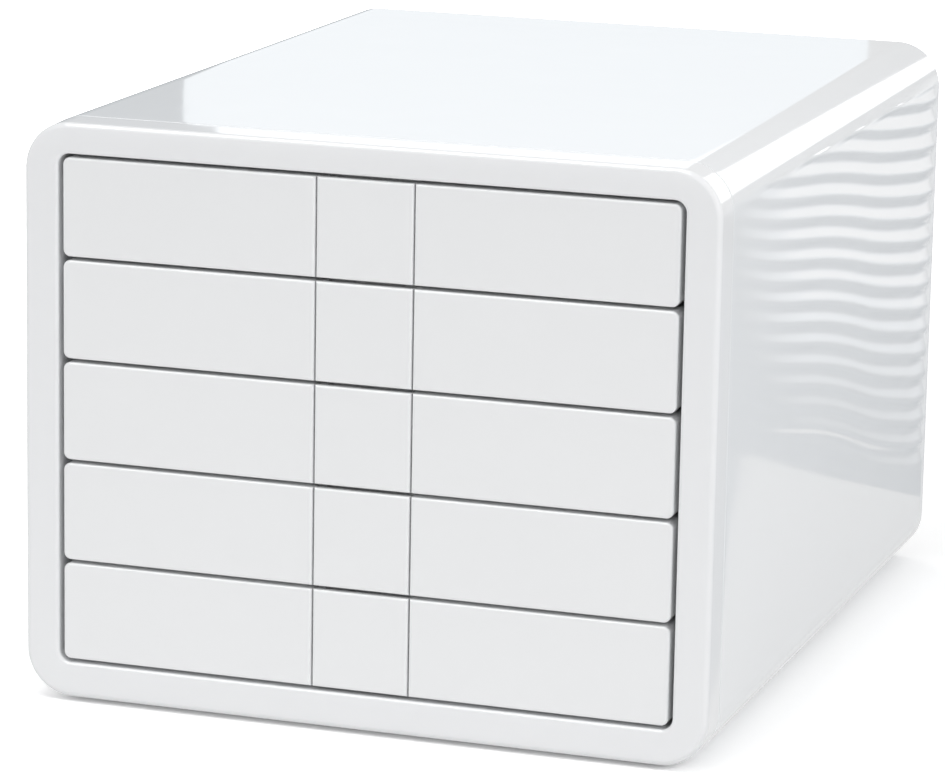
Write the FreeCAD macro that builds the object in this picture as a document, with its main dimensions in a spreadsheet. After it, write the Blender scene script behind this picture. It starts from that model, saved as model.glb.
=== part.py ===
import FreeCAD, Part
import math
import os
import re
import Sketcher

# A desk file box: a rounded casing with five shallow drawers, one above the other.
# X runs to the right, Y from the front to the back, Z up. The origin lies under the
# middle of the casing, on the surface that its feet stand on. Sizes are in millimetres.

DRAWERS = 5
STANDOFFS = 4
SIDES = {"left": -1, "right": 1}
ENDS = {"front": -1, "rear": 1}
LEVELS = {"lower": -1, "upper": 1}

SIZES = {
    # Casing
    "casing_width": 294,
    "casing_depth": 368,
    "casing_height": 243,
    "foot_stand": 1.5,
    "corner_radius": 20,
    "shell_wall": 2.8,
    "shell_edge_radius": 0.3,
    "shell_rear_radius": 1.2,
    "gusset_size": 10.6,
    "gusset_bite": 0.5,
    "gusset_length": 20,
    # Front frame
    "frame_depth": 16,
    "frame_edge_radius": 2.5,
    "frame_wall": 5.2,
    "frame_skin": 3,
    "frame_side": 15,
    "frame_top": 13.2,
    "frame_bottom": 15.3,
    "opening_radius": 5,
    "opening_edge_radius": 1.5,
    "opening_wall": 2.2,
    "seam_gap": 0.4,
    "spigot_length": 10,
    "spigot_wall": 2.2,
    "spigot_clearance": 0.15,
    # Rear panel
    "panel_inset": 1.5,
    "panel_thickness": 2.5,
    "panel_clearance": 0.3,
    "panel_recess": 0.6,
    "panel_border": 26,
    "panel_field_radius": 12,
    "closing_rib_depth": 11.9,
    "closing_rib_width": 2.2,
    "closing_rib_place": 62,
    "closing_rib_margin": 8,
    "closing_clearance": 0.3,
    # Feet
    "foot_radius": 7,
    "foot_thickness": 2.8,
    "foot_edge_radius": 0.6,
    "foot_clearance": 0.15,
    "foot_side_inset": 34,
    "foot_end_inset": 32,
    # Drawer fronts
    "front_gap": 1.5,
    "front_side_gap": 2,
    "front_recess": 0.8,
    "front_depth": 14,
    "front_skin": 2.5,
    "front_rim_wall": 2.2,
    "front_corner_radius": 3,
    "front_edge_radius": 1.1,
    "cavity_radius": 1,
    "cheek_wall": 2.2,
    "pocket_back_wall": 2,
    "boss_radius": 3.2,
    "boss_place": 72,
    "stop_rib_width": 3,
    "rest_stop_low": 3,
    "rest_stop_height": 6,
    "press_stop_below_top": 0.8,
    "press_stop_height": 6,
    # Grip flaps, their pins and springs
    "flap_width": 40.8,
    "flap_gap": 0.6,
    "flap_thickness": 3,
    "flap_stop_clearance": 0.3,
    "flap_swing": 22,
    "pin_radius": 1,
    "pin_behind_face": 3.2,
    "pin_below_top": 14,
    "pin_seat_clearance": 0.02,
    "pin_running_clearance": 0.06,
    "knuckle_radius": 2.6,
    "knuckle_place": 9,
    "knuckle_length": 6,
    "bead_depth": 1,
    "bead_height": 2,
    "bead_low": 1.5,
    "bead_width": 30,
    "spring_thickness": 0.5,
    "spring_width": 8,
    "spring_foot_low": 8,
    "spring_foot_height": 12,
    "spring_touch_above_pin": 6.5,
    "spring_tip": 0.8,
    "spring_clearance": 0.1,
    # Drawer trays
    "tray_wall": 1.8,
    "tray_floor": 1.8,
    "tray_rise": 2.5,
    "tray_below_top": 3.3,
    "tray_radius": 8,
    "tray_floor_radius": 2,
    "tray_base_radius": 1.2,
    "tray_clearance": 0.8,
    "flange_thickness": 2,
    "flange_side_clearance": 0.6,
    "lug_length": 5,
    "lug_height": 3.5,
    "lug_clearance": 0.5,
    # Runner panels
    "runner_inset": 0.8,
    "runner_wall": 2.2,
    "runner_side_clearance": 0.2,
    "runner_end_clearance": 0.2,
    "runner_low_margin": 3.5,
    "runner_high_margin": 0.8,
    "standoff_margin": 2,
    "ledge_reach": 4,
    "ledge_thickness": 2.4,
    "ledge_clearance": 0.3,
    "guide_thickness": 1.8,
    "guide_clearance": 0.6,
    "slide_travel": 250,
    # Screws
    "rear_screw_radius": 1.5,
    "rear_screw_length": 12,
    "rear_screw_head_radius": 2.8,
    "rear_screw_head_height": 1.4,
    "rear_screw_place": 2.6,
    "rear_screw_clearance": 0.2,
    "front_screw_radius": 1.25,
    "front_screw_length": 10,
    "front_screw_head_radius": 2.5,
    "front_screw_head_height": 1.5,
    "front_screw_clearance": 0.2,
    "thread_clearance": 0.03,
    "screw_slot_width": 0.8,
    "screw_slot_length": 3,
    "screw_slot_depth": 0.7,
    # How far a cut runs past the face that it opens
    "overrun": 1,
}

# How near an edge lies to a plane to count as lying in it
TOUCH = 0.001

doc = FreeCAD.newDocument("file_box")
sheet = doc.addObject("Spreadsheet::Sheet", "sizes")
for row, (size_name, size) in enumerate(SIZES.items(), start=1):
    sheet.set(f"A{row}", size_name)
    sheet.set(f"B{row}", str(size))
    sheet.setAlias(f"B{row}", size_name)
doc.recompute()

# Places and sizes that follow from the sheet, each an expression of its names
FACE = "(-casing_depth / 2)"
BACK = "(casing_depth / 2)"
HALF_WIDTH = "(casing_width / 2)"
SEAM = f"({FACE} + frame_depth)"
SHELL_FRONT = f"({SEAM} + seam_gap)"
INNER_HALF = f"({HALF_WIDTH} - shell_wall)"
INNER_LOW = "(foot_stand + shell_wall)"
INNER_HIGH = "(casing_height - shell_wall)"
INNER_RADIUS = "(corner_radius - shell_wall)"
CORNER_ACROSS = f"({HALF_WIDTH} - corner_radius)"
CORNER_HIGH = "(casing_height - corner_radius)"
CORNER_LOW = "(foot_stand + corner_radius)"
PANEL_OUTSIDE = f"({BACK} - panel_inset)"
PANEL_INSIDE = f"({PANEL_OUTSIDE} - panel_thickness)"
GUSSET_NEAR = f"({INNER_RADIUS} - gusset_size)"
GUSSET_FAR = f"({INNER_RADIUS} * sqrt(2) - {GUSSET_NEAR} + gusset_bite)"
REAR_SCREW = f"({GUSSET_NEAR} + rear_screw_place)"

OPENING_HALF = f"({HALF_WIDTH} - frame_side)"
OPENING_LOW = "(foot_stand + frame_bottom)"
OPENING_HIGH = "(casing_height - frame_top)"
ALL_FRONTS = f"({OPENING_HIGH} - {OPENING_LOW} - ({DRAWERS} + 1) * front_gap)"
FRONT_HEIGHT = f"({ALL_FRONTS} / {DRAWERS})"
PITCH = f"({FRONT_HEIGHT} + front_gap)"
FRONT_HALF = f"({OPENING_HALF} - front_side_gap)"

FLAP_HALF = "(flap_width / 2)"
POCKET_HALF = f"({FLAP_HALF} + flap_gap)"
POCKET_DEPTH = "(front_depth - pocket_back_wall)"
CHEEK_HALF = f"({POCKET_HALF} + cheek_wall)"
PIN_HEIGHT = f"({FRONT_HEIGHT} - pin_below_top)"
PRESS_STOP = "(pin_behind_face + pin_below_top * sin(flap_swing * 1 deg) + flap_stop_clearance)"
FLAP_BACK = "(flap_thickness + spring_clearance)"

RUNNER_NEAR = f"({OPENING_HALF} - runner_inset)"
RUNNER_FAR = f"({RUNNER_NEAR} + runner_wall)"
LEDGE_TIP = f"({RUNNER_NEAR} - ledge_reach)"
TRAY_HALF = f"({LEDGE_TIP} - tray_clearance)"
FLANGE_HALF = f"({RUNNER_NEAR} - flange_side_clearance)"
TRAY_HIGH = f"({FRONT_HEIGHT} - tray_below_top)"
FLANGE_LOW = f"({TRAY_HIGH} - flange_thickness)"
LEDGE_HIGH = f"({FLANGE_LOW} - ledge_clearance)"
LEDGE_LOW = f"({LEDGE_HIGH} - ledge_thickness)"
LUG_HIGH = f"({LEDGE_LOW} - lug_clearance)"
LUG_LOW = f"({LUG_HIGH} - lug_height)"
GUIDE_LOW = f"({TRAY_HIGH} + guide_clearance)"

# The drawers' own frame starts at the foot of each front's face
DRAWER_FACE = f"({FACE} + front_recess)"
LOWEST_DRAWER = f"({OPENING_LOW} + front_gap)"
CLOSED_STOP = f"({PANEL_INSIDE} - closing_rib_depth)"
TRAY_BACK = f"({CLOSED_STOP} - closing_clearance - {DRAWER_FACE})"
FLANGE_FRONT = "(front_depth + tray_radius)"
FLANGE_BACK = f"({TRAY_BACK} - tray_radius)"
LUG_FRONT = f"({FLANGE_BACK} - lug_length)"
OPEN_STOP = f"({DRAWER_FACE} + {LUG_FRONT} - slide_travel - lug_clearance)"
RUNNER_FRONT = f"({SEAM} + spigot_length + runner_end_clearance)"
RUNNER_BACK = f"({PANEL_INSIDE} - runner_end_clearance)"

PLANE_NORMALS = {"XY_Plane": 1, "XZ_Plane": -1, "YZ_Plane": 1}
parts = []


def linked(text):
    """The expression with each size's name read from the sheet."""
    return re.sub("[a-z_]+", lambda word: f"sizes.{word[0]}" if word[0] in SIZES else word[0], text)


def value(text):
    return float(sheet.evalExpression(linked(text)))


def bind(thing, **expressions):
    for path, text in expressions.items():
        thing.setExpression(path.replace("__", "."), linked(text))


def stand(thing, across="0", depth="0", up="0"):
    """Places a sub-part by three expressions."""
    bind(thing, Placement__Base__x=across, Placement__Base__y=depth, Placement__Base__z=up)


def new_body(name, **place):
    body = doc.addObject("PartDesign::Body", name)
    body.Label = name
    stand(body, **place)
    parts.append(body)
    return body


def hold(sketch, kind, geometry, point, text):
    """Holds a point of the sketch at a bound distance from the sketch's origin."""
    index = sketch.addConstraint(Sketcher.Constraint(kind, -1, 1, geometry, point, value(text)))
    sketch.renameConstraint(index, f"{kind}{index}")
    sketch.setExpression(f"Constraints.{kind}{index}", linked(text))


def hold_radius(sketch, geometry, text):
    index = sketch.addConstraint(Sketcher.Constraint("Radius", geometry, value(text)))
    sketch.renameConstraint(index, f"Radius{index}")
    sketch.setExpression(f"Constraints.Radius{index}", linked(text))


def polygon(*points):
    """Straight edges through the points, each an across and an up expression."""
    def draw(sketch):
        first = sketch.GeometryCount
        spots = [FreeCAD.Vector(value(across), value(up), 0) for across, up in points]
        count = len(spots)
        for index, spot in enumerate(spots):
            sketch.addGeometry(Part.LineSegment(spot, spots[(index + 1) % count]), False)
        for index in range(count):
            following = first + (index + 1) % count
            sketch.addConstraint(Sketcher.Constraint("Coincident", first + index, 2, following, 1))
        for index, (across, up) in enumerate(points):
            hold(sketch, "DistanceX", first + index, 1, across)
            hold(sketch, "DistanceY", first + index, 1, up)
    return draw


def rectangle(left, right, low, high):
    return polygon((left, low), (right, low), (right, high), (left, high))


def rounded(left, right, low, high, radius):
    """A rectangle whose corners are tangent arcs, drawn anticlockwise from its lower side."""
    def draw(sketch):
        x_low, x_high, y_low, y_high, bend = (value(text) for text in (left, right, low, high, radius))
        corners = [(x_high - bend, y_low + bend), (x_high - bend, y_high - bend),
                   (x_low + bend, y_high - bend), (x_low + bend, y_low + bend)]
        outward = [FreeCAD.Vector(0, -bend, 0), FreeCAD.Vector(bend, 0, 0),
                   FreeCAD.Vector(0, bend, 0), FreeCAD.Vector(-bend, 0, 0)]
        lines = []
        arcs = []
        for index, way in enumerate(outward):
            start = FreeCAD.Vector(*corners[index - 1], 0)
            centre = FreeCAD.Vector(*corners[index], 0)
            lines.append(sketch.addGeometry(Part.LineSegment(start + way, centre + way), False))
            bent = Part.Circle(centre, FreeCAD.Vector(0, 0, 1), bend)
            turn = (index - 1) * math.pi / 2
            arcs.append(sketch.addGeometry(Part.ArcOfCircle(bent, turn, turn + math.pi / 2), False))
        for index, (line, arc) in enumerate(zip(lines, arcs)):
            sketch.addConstraint(Sketcher.Constraint("Tangent", line, 2, arc, 1))
            sketch.addConstraint(Sketcher.Constraint("Tangent", arcs[index - 1], 2, line, 1))
            sketch.addConstraint(Sketcher.Constraint(("Horizontal", "Vertical")[index % 2], line))
        for arc in arcs[1:]:
            sketch.addConstraint(Sketcher.Constraint("Equal", arcs[0], arc))
        hold_radius(sketch, arcs[0], radius)
        for line, kind, side in zip(lines, ("DistanceY", "DistanceX") * 2, (low, right, high, left)):
            hold(sketch, kind, line, 1, side)
    return draw


def circle(across, up, radius):
    def draw(sketch):
        first = sketch.GeometryCount
        centre = FreeCAD.Vector(value(across), value(up), 0)
        sketch.addGeometry(Part.Circle(centre, FreeCAD.Vector(0, 0, 1), value(radius)), False)
        hold(sketch, "DistanceX", first, 3, across)
        hold(sketch, "DistanceY", first, 3, up)
        hold_radius(sketch, first, radius)
    return draw


def extrude(body, name, plane, start, end, *outlines, cut=False):
    """Adds or cuts the outlines from start to end, along the axis square to the plane."""
    before = body.Shape.Volume if body.Tip else 0
    sketch = body.newObject("Sketcher::SketchObject", f"{body.Label}_{name}_outline")
    sides = {side.Role: side for side in body.Origin.OriginFeatures}
    sketch.AttachmentSupport = (sides[plane], "")
    sketch.MapMode = "FlatFace"
    normal = PLANE_NORMALS[plane]
    sketch.setExpression(".AttachmentOffset.Base.z", linked(f"{normal} * ({start})"))
    for outline in outlines:
        outline(sketch)
    kind = "PartDesign::Pocket" if cut else "PartDesign::Pad"
    feature = body.newObject(kind, f"{body.Label}_{name}")
    feature.Profile = sketch
    feature.Reversed = (normal > 0) == cut
    bind(feature, Length=f"({end}) - ({start})")
    doc.recompute()
    grown = body.Shape.Volume - before
    if grown == 0 or (grown < 0) != cut:
        raise RuntimeError(f"{feature.Label} changed the volume by {grown:.3f} mm3")
    return feature


def round_edges(body, name, radius, wanted):
    """Rounds the edges of the body that the test picks out."""
    base = body.Tip
    names = [f"Edge{index}" for index, edge in enumerate(base.Shape.Edges, start=1) if wanted(edge)]
    feature = body.newObject("PartDesign::Fillet", f"{body.Label}_{name}")
    feature.Base = (base, names)
    bind(feature, Radius=radius)
    doc.recompute()
    return feature


def at_face(edge):
    """Picks edges in the plane of a drawer's face."""
    return max(abs(edge.BoundBox.YMin), abs(edge.BoundBox.YMax)) < TOUCH


def at_height(height):
    """Picks edges in a level plane."""
    plane = value(height)
    return lambda edge: abs(edge.BoundBox.ZMin - plane) < TOUCH and abs(edge.BoundBox.ZMax - plane) < TOUCH


def beside(side, near, far):
    """The left and right ends of a span on one side of the middle."""
    return (near, far) if side > 0 else (f"-({far})", f"-({near})")


def four_corners():
    """Each corner of the casing's section: its two directions and the centre of its round."""
    return [(side, level, f"{side} * {CORNER_ACROSS}", CORNER_HIGH if level > 0 else CORNER_LOW)
            for side in SIDES.values() for level in LEVELS.values()]


def rear_screw_places():
    return [(f"{across} + {side} * {REAR_SCREW}", f"{up} + {level} * {REAR_SCREW}")
            for side, level, across, up in four_corners()]


def casing_outline():
    return rounded(f"-{HALF_WIDTH}", HALF_WIDTH, "foot_stand", "casing_height", "corner_radius")


def bore_outline(inset="0"):
    """The inside of the shell, or the same drawn in."""
    half = f"({INNER_HALF} - ({inset}))"
    return rounded(f"-{half}", half, f"{INNER_LOW} + {inset}", f"{INNER_HIGH} - ({inset})",
                   f"{INNER_RADIUS} - ({inset})")


def opening_outline(outset="0"):
    """The opening that the drawer fronts fill, or the same let out."""
    half = f"({OPENING_HALF} + {outset})"
    return rounded(f"-{half}", half, f"{OPENING_LOW} - ({outset})", f"{OPENING_HIGH} + {outset}",
                   f"opening_radius + {outset}")


def foot_places():
    """The name and the centre of each foot."""
    across = f"({HALF_WIDTH} - foot_side_inset)"
    along = f"({BACK} - foot_end_inset)"
    return {f"foot_{end}_{side}": (f"{right} * {across}", f"{rear} * {along}")
            for end, rear in ENDS.items() for side, right in SIDES.items()}


def on_outline(depth, half, low, high, radius):
    """Picks the edges that lie on a rounded outline in a plane across the depth."""
    plane, half_width, bottom, top, bend = (value(text) for text in (depth, half, low, high, radius))

    def on_line(point):
        past_side = abs(point.x) - (half_width - bend)
        past_end = max(point.z - (top - bend), bottom + bend - point.z)
        reach = max(past_side, past_end)
        if min(past_side, past_end) > 0:
            reach = math.hypot(past_side, past_end)
        return abs(point.y - plane) < TOUCH and abs(reach - bend) < TOUCH

    def wanted(edge):
        middle = edge.valueAt((edge.FirstParameter + edge.LastParameter) / 2)
        return all(on_line(point) for point in [middle] + [corner.Point for corner in edge.Vertexes])
    return wanted


def casing_edge(depth):
    return on_outline(depth, HALF_WIDTH, "foot_stand", "casing_height", "corner_radius")


def make_casing_shell():
    """A rounded tube, open at both ends, with a screw gusset in each rear corner."""
    shell = new_body("casing_shell")
    extrude(shell, "block", "XZ_Plane", SHELL_FRONT, BACK, casing_outline())
    extrude(shell, "bore", "XZ_Plane", f"{SHELL_FRONT} - overrun", f"{BACK} + overrun", bore_outline(), cut=True)
    gussets = []
    for side, level, across, up in four_corners():
        near = (f"{across} + {side} * {GUSSET_NEAR}", f"{up} + {level} * {GUSSET_NEAR}")
        far = (f"{across} + {side} * {GUSSET_FAR}", f"{up} + {level} * {GUSSET_FAR}")
        gussets.append(polygon(near, (far[0], near[1]), (near[0], far[1])))
    extrude(shell, "gussets", "XZ_Plane", f"{PANEL_INSIDE} - gusset_length", PANEL_INSIDE, *gussets)
    holes = [circle(*place, "rear_screw_radius + thread_clearance") for place in rear_screw_places()]
    extrude(shell, "screw_holes", "XZ_Plane", f"{PANEL_INSIDE} - gusset_length - overrun",
            f"{PANEL_INSIDE} + overrun", *holes, cut=True)
    recesses = [circle(*place, "foot_radius + foot_clearance") for place in foot_places().values()]
    extrude(shell, "foot_recesses", "XY_Plane", "foot_stand - overrun", "foot_thickness", *recesses, cut=True)
    round_edges(shell, "seam_edge", "shell_edge_radius", casing_edge(SHELL_FRONT))
    round_edges(shell, "rear_edge", "shell_rear_radius", casing_edge(BACK))


def make_front_frame():
    """The frame round the drawer fronts, hollow behind, with a spigot that plugs into the shell."""
    frame = new_body("front_frame")
    extrude(frame, "block", "XZ_Plane", FACE, SEAM, casing_outline())
    extrude(frame, "opening", "XZ_Plane", f"{FACE} - overrun", f"{SEAM} + overrun", opening_outline(), cut=True)
    round_edges(frame, "face_edge", "frame_edge_radius", casing_edge(FACE))
    round_edges(frame, "seam_edge", "shell_edge_radius", casing_edge(SEAM))
    opening_edge = on_outline(FACE, OPENING_HALF, OPENING_LOW, OPENING_HIGH, "opening_radius")
    round_edges(frame, "opening_edge", "opening_edge_radius", opening_edge)
    half = f"({HALF_WIDTH} - frame_wall)"
    hollow = rounded(f"-{half}", half, "foot_stand + frame_wall", "casing_height - frame_wall",
                     "corner_radius - frame_wall")
    extrude(frame, "hollow", "XZ_Plane", f"{FACE} + frame_skin", f"{SEAM} + overrun", hollow,
            opening_outline("opening_wall"), cut=True)
    extrude(frame, "spigot", "XZ_Plane", SEAM, f"{SEAM} + spigot_length", bore_outline("spigot_clearance"),
            bore_outline("(spigot_clearance + spigot_wall)"))


def make_rear_panel():
    """A screwed plate with a sunk field outside and two ribs inside that stop the trays."""
    panel = new_body("rear_panel")
    extrude(panel, "plate", "XZ_Plane", PANEL_INSIDE, PANEL_OUTSIDE, bore_outline("panel_clearance"))
    holes = [circle(*place, "rear_screw_radius + rear_screw_clearance") for place in rear_screw_places()]
    extrude(panel, "screw_holes", "XZ_Plane", f"{PANEL_INSIDE} - overrun", f"{PANEL_OUTSIDE} + overrun",
            *holes, cut=True)
    half = f"({HALF_WIDTH} - panel_border)"
    field = rounded(f"-{half}", half, "foot_stand + panel_border", "casing_height - panel_border",
                    "panel_field_radius")
    extrude(panel, "field", "XZ_Plane", f"{PANEL_OUTSIDE} - panel_recess", f"{PANEL_OUTSIDE} + overrun",
            field, cut=True)
    ribs = []
    for side in SIDES.values():
        left, right = beside(side, "closing_rib_place", "closing_rib_place + closing_rib_width")
        ribs.append(rectangle(left, right, f"{OPENING_LOW} + closing_rib_margin",
                              f"{OPENING_HIGH} - closing_rib_margin"))
    extrude(panel, "closing_ribs", "XZ_Plane", CLOSED_STOP, PANEL_INSIDE, *ribs)


def make_runner_panel(name, side):
    """A side panel on standoff ribs, with a ledge, a guide and an opening stop for each tray."""
    panel = new_body(name)
    low = f"{OPENING_LOW} + runner_low_margin"
    high = f"{OPENING_HIGH} - runner_high_margin"
    plate = beside(side, RUNNER_NEAR, RUNNER_FAR)
    extrude(panel, "plate", "XZ_Plane", RUNNER_FRONT, RUNNER_BACK, rectangle(*plate, low, high))
    standoff = beside(side, RUNNER_FAR, f"{INNER_HALF} - runner_side_clearance")
    run = f"({RUNNER_BACK} - {RUNNER_FRONT} - runner_wall)"
    ribs = []
    for index in range(STANDOFFS):
        start = f"{RUNNER_FRONT} + {run} * {index} / ({STANDOFFS} - 1)"
        ribs.append(rectangle(*standoff, start, f"{start} + runner_wall"))
    extrude(panel, "standoffs", "XY_Plane", f"{CORNER_LOW} + standoff_margin", f"{CORNER_HIGH} - standoff_margin",
            *ribs)
    rail = beside(side, LEDGE_TIP, RUNNER_NEAR)
    rails = []
    stops = []
    for number in range(DRAWERS):
        foot = f"({LOWEST_DRAWER} + {number} * {PITCH})"
        rails.append(rectangle(*rail, f"{foot} + {LEDGE_LOW}", f"{foot} + {LEDGE_HIGH}"))
        rails.append(rectangle(*rail, f"{foot} + {GUIDE_LOW}", f"{foot} + {GUIDE_LOW} + guide_thickness"))
        stops.append(rectangle(*rail, f"{foot} + {LUG_LOW}", f"{foot} + {LEDGE_LOW}"))
    extrude(panel, "rails", "XZ_Plane", RUNNER_FRONT, RUNNER_BACK, *rails)
    extrude(panel, "open_stops", "XZ_Plane", f"{OPEN_STOP} - runner_wall", OPEN_STOP, *stops)


def make_foot(name, across, along):
    """A round rubber foot, let into the underside."""
    foot = new_body(name)
    extrude(foot, "disc", "XY_Plane", "0", "foot_thickness", circle(across, along, "foot_radius"))
    round_edges(foot, "edge", "foot_edge_radius", at_height("0"))


def make_screw(name, kind, across, back, up):
    """A slotted pan-head screw along the depth, its head's seat at the given depth."""
    def turned(shape_name, radius, length, depth):
        shape = doc.addObject("Part::Cylinder", f"{name}_{shape_name}")
        shape.Placement.Rotation = FreeCAD.Rotation(FreeCAD.Vector(-1, 0, 0), 90)
        bind(shape, Radius=radius, Height=length)
        stand(shape, across=across, depth=depth, up=up)
        return shape

    head = turned("head", f"{kind}_head_radius", f"{kind}_head_height", back)
    shank = turned("shank", f"{kind}_radius", f"{kind}_length", f"{back} - {kind}_length")
    blank = doc.addObject("Part::Fuse", f"{name}_blank")
    blank.Base = head
    blank.Tool = shank
    slot = doc.addObject("Part::Box", f"{name}_slot")
    bind(slot, Length="screw_slot_length", Width="screw_slot_depth + overrun", Height="screw_slot_width")
    stand(slot, across=f"{across} - screw_slot_length / 2",
          depth=f"{back} + {kind}_head_height - screw_slot_depth", up=f"{up} - screw_slot_width / 2")
    screw = doc.addObject("Part::Cut", name)
    screw.Base = blank
    screw.Tool = slot
    return screw


def make_screws(name, kind, places, back, **place):
    """The like screws of one joint, in one sub-part."""
    group = doc.addObject("Part::Compound", name)
    group.Label = name
    group.Links = [make_screw(f"{name}_{index}", kind, across, back, up)
                   for index, (across, up) in enumerate(places, start=1)]
    stand(group, **place)
    parts.append(group)


def make_tray(name, place):
    """An open tray with a flange along each side that hangs on the ledges."""
    tray = new_body(name, **place)
    extrude(tray, "block", "XY_Plane", "tray_rise", TRAY_HIGH,
            rounded(f"-{TRAY_HALF}", TRAY_HALF, "front_depth", TRAY_BACK, "tray_radius"))
    round_edges(tray, "base_edge", "tray_base_radius", at_height("tray_rise"))
    inner = f"({TRAY_HALF} - tray_wall)"
    extrude(tray, "inside", "XY_Plane", "tray_rise + tray_floor", f"{TRAY_HIGH} + overrun",
            rounded(f"-{inner}", inner, "front_depth + tray_wall", f"{TRAY_BACK} - tray_wall",
                    "tray_radius - tray_wall"), cut=True)
    round_edges(tray, "floor_edge", "tray_floor_radius", at_height("tray_rise + tray_floor"))
    flanges = []
    lugs = []
    for side in SIDES.values():
        left, right = beside(side, f"{TRAY_HALF} - tray_wall / 2", FLANGE_HALF)
        flanges.append(rectangle(left, right, FLANGE_FRONT, FLANGE_BACK))
        lugs.append(rectangle(left, right, LUG_FRONT, FLANGE_BACK))
    extrude(tray, "flanges", "XY_Plane", FLANGE_LOW, TRAY_HIGH, *flanges)
    extrude(tray, "lugs", "XY_Plane", LUG_LOW, LUG_HIGH, *lugs)
    holes = [circle(across, up, "front_screw_radius + front_screw_clearance") for across, up in boss_places()]
    extrude(tray, "screw_holes", "XZ_Plane", "front_depth - overrun", "front_depth + tray_wall + overrun",
            *holes, cut=True)


def boss_places():
    return [(f"{side} * boss_place", f"{FRONT_HEIGHT} / 2") for side in SIDES.values()]


def make_front(name, place):
    """A drawer front, hollow behind, with a pocket down its middle for the grip flap."""
    front = new_body(name, **place)
    extrude(front, "block", "XZ_Plane", "0", "front_depth",
            rounded(f"-{FRONT_HALF}", FRONT_HALF, "0", FRONT_HEIGHT, "front_corner_radius"))
    extrude(front, "pocket", "XZ_Plane", "-overrun", POCKET_DEPTH,
            rectangle(f"-{POCKET_HALF}", POCKET_HALF, "-overrun", f"{FRONT_HEIGHT} + overrun"), cut=True)
    round_edges(front, "face_edge", "front_edge_radius", at_face)
    cavities = []
    for side in SIDES.values():
        left, right = beside(side, CHEEK_HALF, f"{FRONT_HALF} - front_rim_wall")
        cavities.append(rounded(left, right, "front_rim_wall", f"{FRONT_HEIGHT} - front_rim_wall",
                                "cavity_radius"))
    extrude(front, "cavities", "XZ_Plane", "front_skin", "front_depth + overrun", *cavities, cut=True)
    bosses = [circle(across, up, "boss_radius") for across, up in boss_places()]
    extrude(front, "bosses", "XZ_Plane", "front_skin", "front_depth", *bosses)
    holes = [circle(across, up, "front_screw_radius + thread_clearance") for across, up in boss_places()]
    hole_end = "front_depth + tray_wall - front_screw_length - front_screw_clearance"
    extrude(front, "boss_holes", "XZ_Plane", hole_end, "front_depth + overrun", *holes, cut=True)
    rest_stops = []
    press_stops = []
    for side in SIDES.values():
        left, right = beside(side, f"{POCKET_HALF} - stop_rib_width", POCKET_HALF)
        rest_stops.append(rectangle(left, right, "rest_stop_low", "rest_stop_low + rest_stop_height"))
        press_high = f"({FRONT_HEIGHT} - press_stop_below_top)"
        press_stops.append(rectangle(left, right, f"{press_high} - press_stop_height", press_high))
    extrude(front, "rest_stops", "XZ_Plane", "flap_thickness + flap_stop_clearance", POCKET_DEPTH, *rest_stops)
    extrude(front, "press_stops", "XZ_Plane", PRESS_STOP, POCKET_DEPTH, *press_stops)
    extrude(front, "pin_seats", "YZ_Plane", f"-({CHEEK_HALF} + overrun)", f"{CHEEK_HALF} + overrun",
            circle("pin_behind_face", PIN_HEIGHT, "pin_radius + pin_seat_clearance"), cut=True)


def make_flap(name, place):
    """The rocking grip flap: pressed at the top, its lower edge swings out to be pulled."""
    flap = new_body(name, **place)
    extrude(flap, "plate", "XZ_Plane", "0", "flap_thickness",
            rectangle(f"-{FLAP_HALF}", FLAP_HALF, "0", FRONT_HEIGHT))
    round_edges(flap, "face_edge", "front_edge_radius", at_face)
    for name_of_side, side in SIDES.items():
        left, right = beside(side, "knuckle_place", "knuckle_place + knuckle_length")
        extrude(flap, f"{name_of_side}_knuckle", "YZ_Plane", left, right,
                circle("pin_behind_face", PIN_HEIGHT, "knuckle_radius"))
    extrude(flap, "grip_bead", "XZ_Plane", "flap_thickness", "flap_thickness + bead_depth",
            rectangle("-bead_width / 2", "bead_width / 2", "bead_low", "bead_low + bead_height"))
    extrude(flap, "pin_bore", "YZ_Plane", f"-({FLAP_HALF} + overrun)", f"{FLAP_HALF} + overrun",
            circle("pin_behind_face", PIN_HEIGHT, "pin_radius + pin_running_clearance"), cut=True)


def make_pin(name, place):
    """The steel pin that the flap rocks on, held in the pocket's two cheeks."""
    pin = new_body(name, **place)
    extrude(pin, "rod", "YZ_Plane", f"-{CHEEK_HALF}", CHEEK_HALF,
            circle("pin_behind_face", PIN_HEIGHT, "pin_radius"))


def make_spring(name, place):
    """A bent strip of spring steel that pushes the top of the flap back out."""
    spring = new_body(name, **place)
    foot_high = "(spring_foot_low + spring_foot_height)"
    touch = f"({PIN_HEIGHT} + spring_touch_above_pin)"
    front_line = [(FLAP_BACK, f"{touch} + spring_tip"), (FLAP_BACK, touch),
                  (f"{POCKET_DEPTH} - spring_thickness", foot_high),
                  (f"{POCKET_DEPTH} - spring_thickness", "spring_foot_low")]
    back_line = [(f"{depth} + spring_thickness", up) for depth, up in reversed(front_line)]
    extrude(spring, "strip", "YZ_Plane", "-spring_width / 2", "spring_width / 2",
            polygon(*front_line, *back_line))


make_casing_shell()
make_front_frame()
make_rear_panel()
for side_name, side_way in SIDES.items():
    make_runner_panel(f"{side_name}_runner_panel", side_way)
for foot_name, foot_place in foot_places().items():
    make_foot(foot_name, *foot_place)
make_screws("rear_screws", "rear_screw", rear_screw_places(), PANEL_OUTSIDE)

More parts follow.
